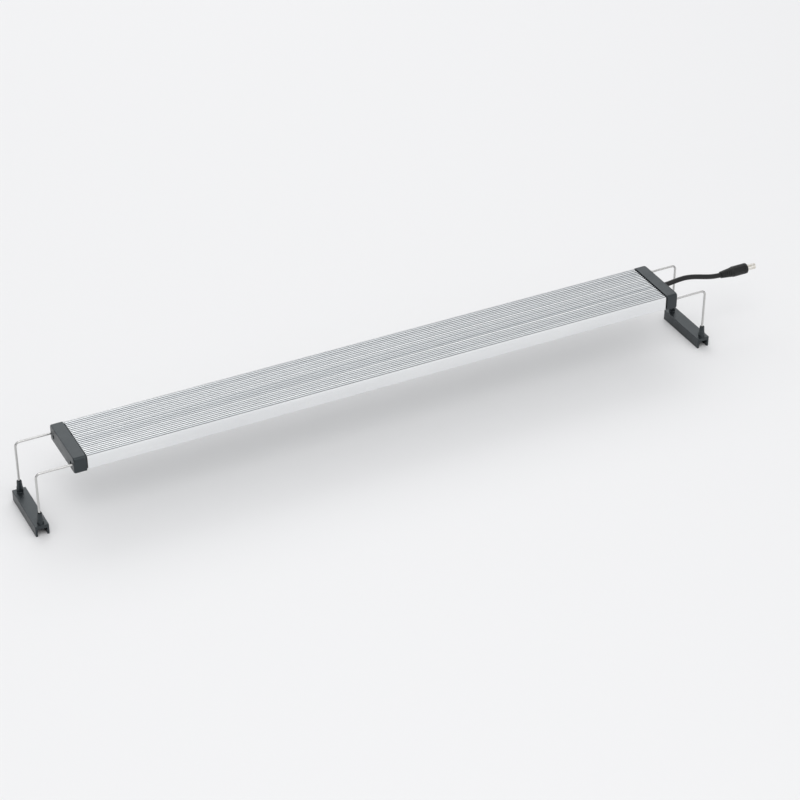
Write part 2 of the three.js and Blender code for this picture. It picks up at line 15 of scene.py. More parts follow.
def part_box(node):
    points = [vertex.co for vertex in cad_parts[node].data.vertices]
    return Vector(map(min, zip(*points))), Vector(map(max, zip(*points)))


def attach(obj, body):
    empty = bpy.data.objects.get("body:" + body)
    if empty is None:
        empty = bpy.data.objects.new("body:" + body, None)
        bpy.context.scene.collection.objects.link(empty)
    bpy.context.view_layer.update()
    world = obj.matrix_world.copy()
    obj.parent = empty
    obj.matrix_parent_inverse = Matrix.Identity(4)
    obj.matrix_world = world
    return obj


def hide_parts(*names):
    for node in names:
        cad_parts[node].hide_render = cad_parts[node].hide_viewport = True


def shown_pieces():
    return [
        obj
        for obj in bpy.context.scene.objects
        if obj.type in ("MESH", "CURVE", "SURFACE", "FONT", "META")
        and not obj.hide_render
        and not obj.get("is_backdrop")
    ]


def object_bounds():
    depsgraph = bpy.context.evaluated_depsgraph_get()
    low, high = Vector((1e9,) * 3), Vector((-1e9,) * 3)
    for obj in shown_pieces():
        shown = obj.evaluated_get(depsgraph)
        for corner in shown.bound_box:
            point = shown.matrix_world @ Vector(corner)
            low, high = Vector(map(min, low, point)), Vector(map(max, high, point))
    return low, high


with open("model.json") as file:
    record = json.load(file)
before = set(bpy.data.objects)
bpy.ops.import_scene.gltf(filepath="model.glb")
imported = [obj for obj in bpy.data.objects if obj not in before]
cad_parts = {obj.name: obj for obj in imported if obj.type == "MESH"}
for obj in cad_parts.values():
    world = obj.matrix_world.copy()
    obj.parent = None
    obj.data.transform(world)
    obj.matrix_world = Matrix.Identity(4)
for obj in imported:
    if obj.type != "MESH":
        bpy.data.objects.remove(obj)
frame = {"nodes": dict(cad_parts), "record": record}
cad_low, cad_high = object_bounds()

# ---------------------------------------------------------------- measures read from the frame

MM = 0.001
X = Vector((1, 0, 0))
Y = Vector((0, 1, 0))
Z = Vector((0, 0, 1))

housing_low, housing_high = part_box("housing")
cap_low, cap_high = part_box("right_end_cap")
rod_low, rod_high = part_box("right_rear_rod")
_, cover_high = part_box("light_cover")
cable_low, cable_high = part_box("cable")
plug_low, plug_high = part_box("plug_body")
screw_low, screw_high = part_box("right_rear_screw")
_, clip_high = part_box("right_clip")
pane_slot = next(m for m in frame["record"]["mounts"] if m["name"] == "right_clip_slot")

RUNNING_GAP = 0.3 * MM  # round a rod, where it slides
ROD_RADIUS = (rod_high.y - rod_low.y) / 2
ROD_Y = (rod_high.y + rod_low.y) / 2
ROD_Z = rod_high.z - ROD_RADIUS
BORE_RADIUS = ROD_RADIUS + RUNNING_GAP
PIN_HEIGHT = 10.6 * MM  # above a clip's top
PIN_BORE_DEPTH = 12.6 * MM
SLOT_TOP = pane_slot["pos_m"][2]
SCREW_Y = (screw_high.y + screw_low.y) / 2
SCREW_Z = (screw_high.z + screw_low.z) / 2
SCREW_RADIUS = 1.2 * MM
SCREW_PORT_RADIUS = SCREW_RADIUS + 0.12 * MM
CABLE_RADIUS = cable_high.y
CABLE_HOLE_RADIUS = CABLE_RADIUS + 0.9 * MM
PLUG_Y = (plug_low.y + plug_high.y) / 2
PLUG_Z = (plug_low.z + plug_high.z) / 2
RIB_COUNT = 21
RIB_PITCH = 2.58 * MM
GROOVE_HALF = 0.6 * MM  # half the gap between two rib tops
GROOVE_DEPTH = 1.6 * MM
RIBBED_HALF = RIB_COUNT / 2 * RIB_PITCH + GROOVE_HALF

# ---------------------------------------------------------------- mesh tools


def circle(centre, radius, count=32):
    """Points of a circle in a plane, anticlockwise, as 2-D vectors."""
    angles = [2 * math.pi * i / count for i in range(count)]
    return [Vector(centre) + radius * Vector((math.cos(a), math.sin(a))) for a in angles]


def ellipse_arc(centre, radii, start, stop, steps=10):
    """Points of part of an ellipse, from one angle in degrees to another."""
    angles = [math.radians(start + (stop - start) * i / steps) for i in range(steps + 1)]
    return [(centre[0] + radii[0] * math.cos(a), centre[1] + radii[1] * math.sin(a), 0) for a in angles]


def rounded(corners, steps=4):
    """A closed outline from corners (u, v, radius), with an arc wherever the radius isn't 0."""
    outline = []
    for i, (u, v, radius) in enumerate(corners):
        here = Vector((u, v))
        if not radius:
            outline.append(here)
            continue
        before = (Vector(corners[i - 1][:2]) - here).normalized()
        after = (Vector(corners[(i + 1) % len(corners)][:2]) - here).normalized()
        half = before.angle(after) / 2
        centre = here + (before + after).normalized() * (radius / math.sin(half))
        start = here + before * (radius / math.tan(half)) - centre
        turn = math.copysign(math.pi - 2 * half, before.y * after.x - before.x * after.y)
        outline += [centre + Matrix.Rotation(turn * k / steps, 2) @ start for k in range(steps + 1)]
    return outline


def inset(outline, distance):
    """An anticlockwise outline moved inwards by a distance."""
    least_cosine = 0.4  # keeps the point of a sharp corner from running away
    moved = []
    for i, here in enumerate(outline):
        into = (here - outline[i - 1]).normalized()
        out = (outline[(i + 1) % len(outline)] - here).normalized()
        normal = Vector((-into.y - out.y, into.x + out.x)).normalized()
        cosine = max(least_cosine, normal.dot(Vector((-into.y, into.x))))
        moved.append(here + normal * (distance / cosine))
    return moved


def across_x(outline, x):
    return [Vector((x, p[0], p[1])) for p in outline]


def across_y(outline, y):
    return [Vector((p[0], y, p[1])) for p in outline]


def across_z(outline, z):
    return [Vector((p[0], p[1], z)) for p in outline]


def loft(bm, rings, closed=False):
    """Walls through rings of equally many points, and back to the first ring if closed. Returns the first
    and the last ring's vertices."""
    loops = [[bm.verts.new(point) for point in ring] for ring in rings]
    following = loops[1:] + loops[:1] if closed else loops[1:]
    for here, there in zip(loops, following):
        for i in range(len(here)):
            bm.faces.new((here[i - 1], here[i], there[i], there[i - 1]))
    return loops[0], loops[-1]


def cover(bm, loops, normal):
    """The flat face between an outline and its holes."""
    edges = [bm.edges.get((loop[i - 1], loop[i])) for loop in loops for i in range(len(loop))]
    bmesh.ops.triangle_fill(bm, use_beauty=True, edges=edges, normal=normal)


def bore_along_x(bm, y, z, steps):
    """The wall of a round hole along X. steps: (x, radius) pairs. Returns its first and last vertices."""
    return loft(bm, [across_x(circle((y, z), radius), x) for x, radius in steps])


def edge_round(depth, steps=4):
    """Steps (advance, inset) that take a wall through a quarter round, from the end face to the full size.
    Reversed, they take it from the full size to the end face."""
    angles = [math.pi / 2 * i / steps for i in range(steps + 1)]
    return [(depth * (1 - math.cos(a)), depth * (1 - math.sin(a))) for a in angles]


def sweep(bm, path, radius, sides, chamfer):
    """A round wire along a path that stays near the plane y = constant, with chamfered ends."""
    grain = bm.verts.layers.float_vector.new("grain")
    lengths = [0.0]
    for here, there in zip(path, path[1:]):
        lengths.append(lengths[-1] + (there - here).length)
    stations = [(0, radius - chamfer)]
    stations += [(i, radius) for i in range(len(path))]
    stations += [(len(path) - 1, radius - chamfer)]
    first_step = (path[1] - path[0]).normalized()
    last_step = (path[-1] - path[-2]).normalized()
    rings = []
    for index, (i, size) in enumerate(stations):
        into = (path[i] - path[max(i - 1, 0)]).normalized()
        out = (path[min(i + 1, len(path) - 1)] - path[i]).normalized()
        ahead = (into + out).normalized()
        side = (Y - ahead * Y.dot(ahead)).normalized()
        up = side.cross(ahead)
        centre = path[i].copy()
        if index == 1:
            centre += first_step * chamfer
        if index == len(stations) - 2:
            centre -= last_step * chamfer
        rings.append([centre + side * p.x + up * p.y for p in circle((0, 0), size, sides)])
    for end in loft(bm, rings):
        bm.faces.new(end)
    flat = circle((0, 0), radius, sides)
    bm.verts.index_update()
    for vert in bm.verts:
        around = flat[vert.index % sides]
        vert[grain] = (around.x, around.y, lengths[stations[vert.index // sides][0]])


def turned(bm, profile, place, sides=40, shape=None):
    """A solid of revolution. profile: (advance, radius) pairs, closed on itself or starting and ending
    near the axis; place(u, v, advance) gives the point; shape(advance, radius, angle) may vary the radius."""
    rings = []
    for advance, radius in profile:
        points = circle((0, 0), radius, sides)
        if shape:
            points = [p.normalized() * shape(advance, radius, math.atan2(p.y, p.x)) for p in points]
        rings.append([place(p.x, p.y, advance) for p in points])
    if profile[0] == profile[-1]:
        loft(bm, rings[:-1], closed=True)
        return
    for end in loft(bm, rings):
        bm.faces.new(end)


def about_x(y, z):
    return lambda u, v, advance: Vector((advance, y + u, z + v))


# ---------------------------------------------------------------- material tools


class Nodes:
    """A node tree and short ways to add to it."""

    def __init__(self, owner):
        owner.use_nodes = True
        self.tree = owner.node_tree

    def plug(self, socket, value):
        if isinstance(value, bpy.types.NodeSocket):
            self.tree.links.new(value, socket)
        else:
            socket.default_value = value

    def node(self, kind, inputs=None, **settings):
        made = self.tree.nodes.new(kind)
        for key, value in settings.items():
            setattr(made, key, value)
        for key, value in (inputs or {}).items():
            self.plug(made.inputs[key], value)
        return made

    def math(self, operation, first, second=0.0):
        return self.node("ShaderNodeMath", {0: first, 1: second}, operation=operation).outputs[0]

    def dot(self, first, second):
        inputs = {0: first, 1: second}
        return self.node("ShaderNodeVectorMath", inputs, operation="DOT_PRODUCT").outputs["Value"]

    def ramp(self, value, low, high, to_low=0.0, to_high=1.0):
        """value's range low to high, mapped to to_low to to_high and held there outside it."""
        inputs = {"Value": value, "From Min": low, "From Max": high, "To Min": to_low, "To Max": to_high}
        return self.node("ShaderNodeMapRange", inputs).outputs["Result"]

    def mix(self, share, first, second):
        """A colour between two colours."""
        made = self.node("ShaderNodeMix", data_type="RGBA")
        self.plug(made.inputs["Factor"], share)
        for key, value in ((6, first), (7, second)):
            self.plug(made.inputs[key], value if isinstance(value, bpy.types.NodeSocket) else (*value, 1))
        return made.outputs[2]

    def shade(self, value, low, high, first, second):
        """The first colour where value is low, the second where it is high."""
        return self.mix(self.ramp(value, low, high), first, second)


class Surface(Nodes):
    """One procedural material: a Principled shader and the nodes that drive it."""

    def __init__(self, name, colour, roughness, metallic=0.0, **inputs):
        self.material = bpy.data.materials.new(name)
        super().__init__(self.material)
        self.shader = self.tree.nodes["Principled BSDF"]
        self.set("Base Color", (*colour, 1))
        self.set("Roughness", roughness)
        self.set("Metallic", metallic)
        for key, value in inputs.items():
            self.set(key.replace("_", " "), value)
        self.where = self.node("ShaderNodeTexCoord").outputs["Object"]

    def set(self, key, value):
        self.plug(self.shader.inputs[key], value)

    def axes(self):
        return self.node("ShaderNodeSeparateXYZ", {0: self.where}).outputs

    def noise(self, period, detail=2.0, stretch=(1, 1, 1), where=None):
        """Cloudy values about 0.5. period is the size of a cloud; stretch lengthens it along each axis."""
        scale = tuple(1 / (period * s) for s in stretch)
        inputs = {0: where or self.where, 1: scale}
        scaled = self.node("ShaderNodeVectorMath", inputs, operation="MULTIPLY").outputs[0]
        inputs = {"Vector": scaled, "Scale": 1.0, "Detail": detail}
        return self.node("ShaderNodeTexNoise", inputs).outputs["Fac"]

    def cells(self, period):
        """The distance to the nearest of scattered points, about period apart."""
        inputs = {"Vector": self.where, "Scale": 1 / period}
        return self.node("ShaderNodeTexVoronoi", inputs).outputs["Distance"]

    def worn_edges(self, radius, amount=1.0):
        """0 on flat faces, rising to amount on edges and corners."""
        soft = self.node("ShaderNodeBevel", {"Radius": radius}, samples=4).outputs["Normal"]
        true = self.node("ShaderNodeNewGeometry").outputs["Normal"]
        return self.ramp(self.dot(soft, true), 0.995, 0.85, 0.0, amount)

    def bump(self, height, depth):
        """Relief of the given depth, on top of any that is there already."""
        made = self.node("ShaderNodeBump", {"Height": height, "Distance": depth, "Strength": 1.0})
        normal = self.shader.inputs["Normal"]
        if normal.is_linked:
            self.plug(made.inputs["Normal"], normal.links[0].from_socket)
        self.set("Normal", made.outputs["Normal"])


# ---------------------------------------------------------------- materials, one per slot of the record


def housing_aluminium():
    """Satin anodised extrusion: die lines along the bar, a fine etched grain, painted shade in the grooves
    and a ribbed top darkened by painted shade, with streaks of tone.
    """
    made = Surface("housing_aluminium", (0.78, 0.79, 0.8), 0.33, metallic=1.0)
    die_lines = made.noise(0.16 * MM, 3, stretch=(900, 1, 1))
    etch = made.noise(0.07 * MM, 1)
    clouds = made.noise(40 * MM, 3, stretch=(3, 1, 1))
    axes = made.axes()
    groove_shade_depth = made.ramp(axes["Z"], housing_high.z - 0.1 * MM, housing_high.z - 0.7 * GROOVE_DEPTH)
    ribbed = made.ramp(made.math("ABSOLUTE", axes["Y"]), RIBBED_HALF, RIBBED_HALF - 0.1 * MM)
    bright = made.shade(clouds, 0.35, 0.65, (0.83, 0.84, 0.85), (0.88, 0.89, 0.895))
    lined = made.mix(made.ramp(die_lines, 0.3, 0.7, 0.0, 0.35), bright, (0.73, 0.745, 0.76))
    streaks = made.noise(2.6 * MM, 2, stretch=(400, 1, 1))
    # Painted shade on the ribbed top: it is darker than the sides to stand in for the light it gives back;
    # the streaks across it are tone that varies.
    rib_shade_and_streaks = made.shade(streaks, 0.38, 0.62, (0.5, 0.525, 0.545), (0.8, 0.815, 0.82))
    with_rib_shade = made.mix(made.math("MULTIPLY", ribbed, 0.8), lined, rib_shade_and_streaks)
    # Painted shade in the grooves: below the rib tops the metal turns grey, standing in for the shade between
    # the ribs.
    made.set("Base Color", made.mix(made.math("MULTIPLY", groove_shade_depth, ribbed), with_rib_shade, (0.34, 0.355, 0.37)))
    rough = made.ramp(die_lines, 0.3, 0.7, 0.26, 0.38)
    made.set("Roughness", made.math("ADD", rough, made.ramp(etch, 0.3, 0.7, -0.03, 0.05)))
    made.bump(die_lines, 0.004 * MM)
    made.bump(etch, 0.0015 * MM)
    return made.material


def anthracite_plastic():
    """Moulded dark plastic: a fine spark-eroded grain, a slight sheen and paler rubbed edges."""
    cool_sheen = (0.84, 0.95, 1, 1)
    made = Surface("anthracite_plastic", (0.016, 0.019, 0.022), 0.34, IOR=1.58, Specular_Tint=cool_sheen)
    grain = made.cells(0.22 * MM)
    speckle = made.noise(0.5 * MM, 3)
    clouds = made.noise(12 * MM, 3)
    body = made.shade(clouds, 0.35, 0.65, (0.008, 0.0098, 0.0115), (0.011, 0.0132, 0.0155))
    flecked = made.mix(made.ramp(speckle, 0.55, 0.8, 0.0, 0.3), body, (0.026, 0.03, 0.034))
    made.set("Base Color", made.mix(made.worn_edges(0.3 * MM, 0.5), flecked, (0.05, 0.056, 0.062)))
    rough = made.ramp(clouds, 0.3, 0.7, 0.31, 0.39)
    made.set("Roughness", made.math("ADD", rough, made.ramp(speckle, 0.3, 0.7, -0.03, 0.04)))
    made.bump(grain, 0.012 * MM)
    made.bump(speckle, 0.006 * MM)
    return made.material


def grain_coordinates(made):
    return made.node("ShaderNodeAttribute", attribute_name="grain").outputs["Vector"]


def rod_stainless():
    """Bright drawn wire: draw lines along it, faint handling scratches and a little haze."""
    made = Surface("rod_stainless", (0.74, 0.735, 0.725), 0.2, metallic=1.0)
    along = grain_coordinates(made)
    draw_lines = made.noise(0.12 * MM, 2, stretch=(1, 1, 250), where=along)
    haze = made.noise(6 * MM, 3, where=along)
    scratches = made.noise(0.3 * MM, 2, stretch=(6, 6, 0.3), where=along)
    made.set("Base Color", made.shade(draw_lines, 0.35, 0.7, (0.64, 0.635, 0.625), (0.46, 0.46, 0.455)))
    rough = made.ramp(haze, 0.35, 0.65, 0.15, 0.26)
    made.set("Roughness", made.math("ADD", rough, made.ramp(scratches, 0.6, 0.75, 0.0, 0.12)))
    made.bump(draw_lines, 0.004 * MM)
    return made.material


def clear_cover():
    """Clear acrylic strip with a faint frosting and lengthwise extrusion waves."""
    made = Surface("clear_cover", (0.93, 0.965, 0.975), 0.08, IOR=1.49, Transmission_Weight=1.0)
    frost = made.noise(0.5 * MM, 3)
    waves = made.noise(1.5 * MM, 1, stretch=(60, 1, 1))
    made.set("Base Color", made.shade(frost, 0.4, 0.7, (0.94, 0.97, 0.98), (0.88, 0.93, 0.945)))
    made.set("Roughness", made.ramp(frost, 0.3, 0.7, 0.05, 0.14))
    made.bump(waves, 0.01 * MM)
    return made.material


def silicone():
    """Matte black silicone with dusty patches."""
    made = Surface("silicone", (0.012, 0.012, 0.013), 0.6)
    skin = made.noise(0.3 * MM, 4)
    dust = made.noise(4 * MM, 3)
    dusty = made.ramp(dust, 0.5, 0.75, 0, 0.5)
    made.set("Base Color", made.mix(dusty, (0.011, 0.011, 0.012), (0.05, 0.05, 0.05)))
    made.set("Roughness", made.ramp(skin, 0.3, 0.7, 0.52, 0.72))
    made.bump(skin, 0.02 * MM)
    return made.material


def cable_jacket():
    """Black PVC: satin, with faint extrusion ripples round it and a fine skin."""
    made = Surface("cable_jacket", (0.004, 0.0042, 0.0045), 0.36, IOR=1.42)
    skin = made.noise(0.15 * MM, 3)
    ripples = made.noise(0.6 * MM, 2, stretch=(1, 12, 12))
    patches = made.noise(7 * MM, 3)
    made.set("Base Color", made.shade(patches, 0.4, 0.7, (0.0035, 0.0037, 0.004), (0.007, 0.0073, 0.0078)))
    rough = made.ramp(patches, 0.3, 0.7, 0.3, 0.42)
    made.set("Roughness", made.math("ADD", rough, made.ramp(skin, 0.3, 0.7, -0.04, 0.06)))
    made.bump(ripples, 0.02 * MM)
    made.bump(skin, 0.006 * MM)
    return made.material


def board_white():
    """White solder mask over faintly raised copper tracks, with bare laminate at the board's edges."""
    made = Surface("board_white", (0.86, 0.86, 0.83), 0.35)
    track_y, track_half = 8 * MM, 1 * MM
    mask_half = 13.7 * MM
    blur = 0.1 * MM
    across = made.math("ABSOLUTE", made.axes()["Y"])
    from_track = made.math("ABSOLUTE", made.math("SUBTRACT", across, track_y))
    track = made.ramp(from_track, track_half + blur, track_half - blur)
    mask = made.shade(made.noise(3 * MM, 3), 0.35, 0.65, (0.84, 0.84, 0.81), (0.89, 0.89, 0.86))
    shown = made.mix(made.math("MULTIPLY", track, 0.35), mask, (0.72, 0.66, 0.5))
    rim = made.ramp(across, mask_half - blur, mask_half + blur)
    made.set("Base Color", made.mix(rim, shown, (0.55, 0.5, 0.33)))
    made.set("Roughness", made.ramp(made.noise(0.4 * MM, 3), 0.3, 0.7, 0.28, 0.42))
    made.bump(track, 0.03 * MM)
    return made.material


def thermal_pad():
    """Soft grey heat-conducting pad with a filled, grainy body."""
    made = Surface("thermal_pad", (0.32, 0.37, 0.42), 0.85)
    grit = made.noise(0.25 * MM, 4)
    made.set("Base Color", made.shade(grit, 0.35, 0.65, (0.28, 0.33, 0.38), (0.37, 0.41, 0.46)))
    made.set("Roughness", made.ramp(grit, 0.3, 0.7, 0.78, 0.92))
    made.bump(grit, 0.05 * MM)
    return made.material


def led_package():
    """White LED packages: yellow phosphor in the round well, a pale ceramic body about it."""
    made = Surface("led_package", (0.85, 0.85, 0.82), 0.4)
    first_low, first_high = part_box("led_01")
    second_low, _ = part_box("led_02")
    pitch = second_low.x - first_low.x
    axes = made.axes()
    from_first = made.math("SUBTRACT", axes["X"], (first_low.x + first_high.x) / 2)
    from_centre = made.node("ShaderNodeMath", {0: from_first, 1: pitch / 2, 2: -pitch / 2}, operation="WRAP")
    sideways = made.math("MULTIPLY", axes["Y"], axes["Y"])
    lengthways = made.math("MULTIPLY", from_centre.outputs[0], from_centre.outputs[0])
    distance = made.math("SQRT", made.math("ADD", sideways, lengthways))
    phosphor = made.ramp(distance, 1.75 * MM, 1.6 * MM)
    grains = made.noise(0.12 * MM, 3)
    yellow = made.shade(grains, 0.35, 0.65, (0.8, 0.6, 0.12), (0.9, 0.75, 0.22))
    made.set("Base Color", made.mix(phosphor, (0.85, 0.85, 0.81), yellow))
    made.set("Roughness", made.ramp(grains, 0.3, 0.7, 0.3, 0.5))
    made.bump(grains, 0.01 * MM)
    return made.material


def screw_steel():
    """Plain steel with fine turning marks and darker patches."""
    made = Surface("screw_steel", (0.42, 0.43, 0.44), 0.35, metallic=1.0)
    turning = made.noise(0.08 * MM, 2, stretch=(1, 4, 4))
    patches = made.noise(1.2 * MM, 3)
    made.set("Base Color", made.shade(patches, 0.4, 0.7, (0.45, 0.46, 0.47), (0.3, 0.305, 0.31)))
    made.set("Roughness", made.ramp(turning, 0.3, 0.7, 0.28, 0.45))
    made.bump(turning, 0.004 * MM)
    return made.material


def plug_nickel():
    """Nickel plate over turned brass, with faint rings from the lathe."""
    made = Surface("plug_nickel", (0.76, 0.74, 0.7), 0.18, metallic=1.0)
    rings = made.noise(0.1 * MM, 2, stretch=(1, 40, 40))
    tarnish = made.noise(2.5 * MM, 3)
    made.set("Base Color", made.shade(tarnish, 0.45, 0.75, (0.78, 0.76, 0.72), (0.62, 0.57, 0.48)))
    made.set("Roughness", made.ramp(rings, 0.3, 0.7, 0.13, 0.27))
    made.bump(rings, 0.003 * MM)
    return made.material


def insulation(name, dark, pale):
    """Smooth PVC insulation of a thin wire."""
    made = Surface(name, pale, 0.35)
    skin = made.noise(0.2 * MM, 3)
    made.set("Base Color", made.shade(skin, 0.3, 0.7, dark, pale))
    made.set("Roughness", made.ramp(skin, 0.3, 0.7, 0.28, 0.42))
    made.bump(skin, 0.004 * MM)
    return made.material


MATERIALS = {
    "housing_aluminium": housing_aluminium(),
    "anthracite_plastic": anthracite_plastic(),
    "rod_stainless": rod_stainless(),
    "clear_cover": clear_cover(),
    "silicone": silicone(),
    "cable_jacket": cable_jacket(),
    "board_white": board_white(),
    "thermal_pad": thermal_pad(),
    "led_package": led_package(),
    "screw_steel": screw_steel(),
    "plug_nickel": plug_nickel(),
    "red_insulation": insulation("red_insulation", (0.36, 0.012, 0.01), (0.42, 0.018, 0.015)),
    "black_insulation": insulation("black_insulation", (0.008, 0.008, 0.01), (0.014, 0.014, 0.017)),
}
slot_of = {part["node"]: part["material_slot"] for part in frame["record"]["subparts"]}
body_of = {node: body for body, nodes in frame["record"]["behaviour"]["bodies"].items() for node in nodes}

# ---------------------------------------------------------------- fine pieces

SHARP_ANGLE = math.radians(32)
SAME_PLACE = 0.001 * MM


def fine_piece(bm, node, mirrored=False):
    """Makes an object of a mesh. It stands for a CAD node, rides on its body and takes its slot's material.
    mirrored turns it half a turn about Z, to the bar's other end."""
    if mirrored:
        bmesh.ops.rotate(bm, verts=bm.verts, cent=(0, 0, 0), matrix=Matrix.Rotation(math.pi, 3, "Z"))
    bmesh.ops.recalc_face_normals(bm, faces=bm.faces)
    for face in bm.faces:
        face.smooth = True
    for edge in bm.edges:
        edge.smooth = edge.calc_face_angle(0.0) < SHARP_ANGLE
    mesh = bpy.data.meshes.new("fine_" + node)
    bm.to_mesh(mesh)
    bm.free()
    made = bpy.data.objects.new("fine_" + node, mesh)
    bpy.context.scene.collection.objects.link(made)
    weights = made.modifiers.new("even_shading", "WEIGHTED_NORMAL")
    weights.keep_sharp = True
    mesh.materials.append(MATERIALS[slot_of[node]])
    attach(made, body_of[node])
    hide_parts(node)


def housing_outline():
    """The extrusion's section: one side from lip to shoulder, the ribs, the other side, the cavity."""
    groove_floor_half = 0.35 * MM
    groove_round, rib_round = 0.15 * MM, 0.5 * MM
    lip_round, foot_round = 0.25 * MM, 0.6 * MM
    inner_round, cavity_round = 0.1 * MM, 0.3 * MM
    shoulder_drop = 4 * MM
    lip_top, lip_width = 2 * MM, 1.9 * MM
    channel_half = cover_high.y + RUNNING_GAP
    lip_half = channel_half - lip_width
    channel_top = 4 * MM
    cavity_half = 17.4 * MM
    cavity_top = 9.3 * MM
    half, bottom, top = housing_high.y, housing_low.z, housing_high.z

    def one_side(side):
        radii = (half - RIBBED_HALF, shoulder_drop)
        shoulder = ellipse_arc((RIBBED_HALF, top - shoulder_drop), radii, 0, 90)
        corners = [(lip_half, bottom, lip_round), (half, bottom, foot_round), *shoulder[:-1]]
        return [(side * y, z, r) for y, z, r in corners]

    outline = one_side(1)
    for groove in range(RIB_COUNT + 1):
        y = (RIB_COUNT / 2 - groove) * RIB_PITCH
        outline += [
            (y + GROOVE_HALF, top, rib_round),
            (y + groove_floor_half, top - GROOVE_DEPTH, groove_round),
            (y - groove_floor_half, top - GROOVE_DEPTH, groove_round),
            (y - GROOVE_HALF, top, rib_round),
        ]
    outline += reversed(one_side(-1))
    cavity = [
        (lip_half, lip_top, inner_round),
        (channel_half, lip_top, inner_round),
        (channel_half, channel_top, inner_round),
        (cavity_half, channel_top, inner_round),
        (cavity_half, cavity_top, cavity_round),
    ]
    outline += [(-y, z, r) for y, z, r in cavity]
    outline += reversed(cavity)
    return rounded(outline)


def make_housing():
    """The extrusion, with the rods' and the screws' bores along its whole length."""
    bm = bmesh.new()
    outline = housing_outline()
    ends = (housing_low.x, housing_high.x)
    first, last = loft(bm, [across_x(outline, x) for x in ends])
    starts, stops = [first], [last]
    for side in (-1, 1):
        for y, z, radius in ((ROD_Y, ROD_Z, BORE_RADIUS), (SCREW_Y, SCREW_Z, SCREW_PORT_RADIUS)):
            start, stop = bore_along_x(bm, side * y, z, [(x, radius) for x in ends])
            starts.append(start)
            stops.append(stop)
    cover(bm, starts, -X)
    cover(bm, stops, X)
    fine_piece(bm, "housing")


def cap_outline(shrink_y, shrink_z):
    """An end cap's section: larger radii at its upper corners than at its lower ones."""
    half = cap_high.y - shrink_y
    bottom, top = cap_low.z + shrink_z, cap_high.z - shrink_z
    upper, lower = 2.8 * MM, 1.2 * MM
    corners = [(-half, bottom, lower), (half, bottom, lower), (half, top, upper), (-half, top, upper)]
    return rounded(corners, 8)


def make_end_cap(node, mirrored, cable_hole):
    """A moulded cap with a rounded outer face, rod holes, counterbored screw holes and a wiring pocket."""
    plan_round = 1.6 * MM
    top_round = 0.35 * MM
    inner_edge = 0.2 * MM
    countersink = 0.25 * MM
    cable_edge = 0.3 * MM
    counterbore_radius = 2.1 * MM
    counterbore_depth = 4 * MM
    pocket_depth = 6 * MM
    pocket_half = 15 * MM
    pocket_half_height = 3.65 * MM
    pocket_round = 0.5 * MM
    pocket = rounded([
        (-pocket_half, ROD_Z - pocket_half_height, pocket_round),
        (pocket_half, ROD_Z - pocket_half_height, pocket_round),
        (pocket_half, ROD_Z + pocket_half_height, pocket_round),
        (-pocket_half, ROD_Z + pocket_half_height, pocket_round),
    ])
    inner, outer = cap_low.x, cap_high.x
    bm = bmesh.new()
    rings = [across_x(cap_outline(size, size), inner + step) for step, size in edge_round(inner_edge)]
    for step, shrink in reversed(edge_round(1, 8)):
        outline = cap_outline(plan_round * shrink, top_round * shrink)
        rings.append(across_x(outline, outer - plan_round * step))
    inner_loops, outer_loops = [[loop] for loop in loft(bm, rings)]
    rod_hole = [
        (inner, BORE_RADIUS),
        (outer - countersink, BORE_RADIUS),
        (outer, BORE_RADIUS + countersink),
    ]
    screw_hole = [
        (inner, SCREW_PORT_RADIUS),
        (outer - counterbore_depth, SCREW_PORT_RADIUS),
        (outer - counterbore_depth, counterbore_radius),
        (outer - countersink / 2, counterbore_radius),
        (outer, counterbore_radius + countersink / 2),
    ]
    for side in (-1, 1):
        for y, z, hole in ((ROD_Y, ROD_Z, rod_hole), (SCREW_Y, SCREW_Z, screw_hole)):
            start, stop = bore_along_x(bm, side * y, z, hole)
            inner_loops.append(start)
            outer_loops.append(stop)
    mouth, floor = loft(bm, [across_x(pocket, inner), across_x(pocket, inner + pocket_depth)])
    inner_loops.append(mouth)
    floor_loops = [floor]
    if cable_hole:
        start, stop = bore_along_x(bm, 0, ROD_Z, [
            (inner + pocket_depth, CABLE_HOLE_RADIUS),
            (outer - cable_edge, CABLE_HOLE_RADIUS),
            (outer, CABLE_HOLE_RADIUS + cable_edge),
        ])
        floor_loops.append(start)
        outer_loops.append(stop)
    cover(bm, inner_loops, -X)
    cover(bm, outer_loops, X)
    cover(bm, floor_loops, -X)
    fine_piece(bm, node, mirrored)


def make_rod(node):
    """A wire bent to a right angle: a long leg along X and a short leg down."""
    bend_radius = 4 * MM
    end_chamfer = 0.12 * MM
    low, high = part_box(node)
    outwards = 1 if low.x + high.x > 0 else -1
    y = (low.y + high.y) / 2
    inside_x, leg_x = (low.x, high.x - ROD_RADIUS) if outwards > 0 else (high.x, low.x + ROD_RADIUS)
    path = [Vector((inside_x, y, ROD_Z))]
    for back, drop in reversed(edge_round(bend_radius, 16)):
        path.append(Vector((leg_x - outwards * back, y, ROD_Z - drop)))
    path.append(Vector((leg_x, y, low.z)))
    bm = bmesh.new()
    sweep(bm, path, ROD_RADIUS, 24, end_chamfer)
    fine_piece(bm, node)


